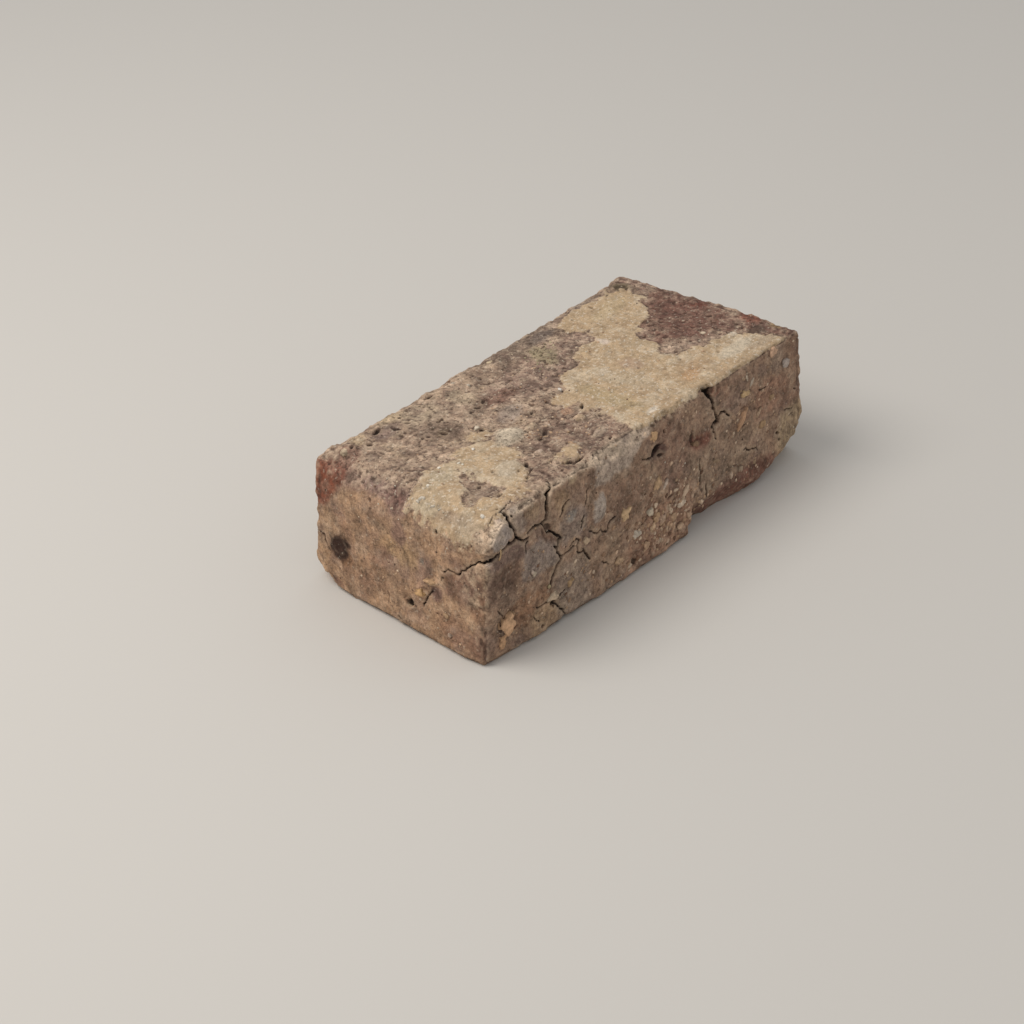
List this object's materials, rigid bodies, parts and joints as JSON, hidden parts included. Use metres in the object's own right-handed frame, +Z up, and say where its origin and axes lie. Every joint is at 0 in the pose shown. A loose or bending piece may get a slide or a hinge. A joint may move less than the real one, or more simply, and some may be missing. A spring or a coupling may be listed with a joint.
{
  "type": "clay brick",
  "caption": "Reclaimed handmade solid clay brick with spread foot, worn and spalled arrises and drying cracks, lying on its bed.",
  "frame": {"origin": "centre of the footprint, on the bed that the brick rests on", "axes": "+X along the brick from the rounded header to the far end, +Y from the cracked front face to the back face, +Z up"},
  "size_m": [0.2247, 0.1103, 0.0664],
  "materials": {
    "fired_clay": "rough, sandy, weathered"
  },
  "bodies": {
    "root": {"brick": "fired_clay"}
  },
  "joints": []
}
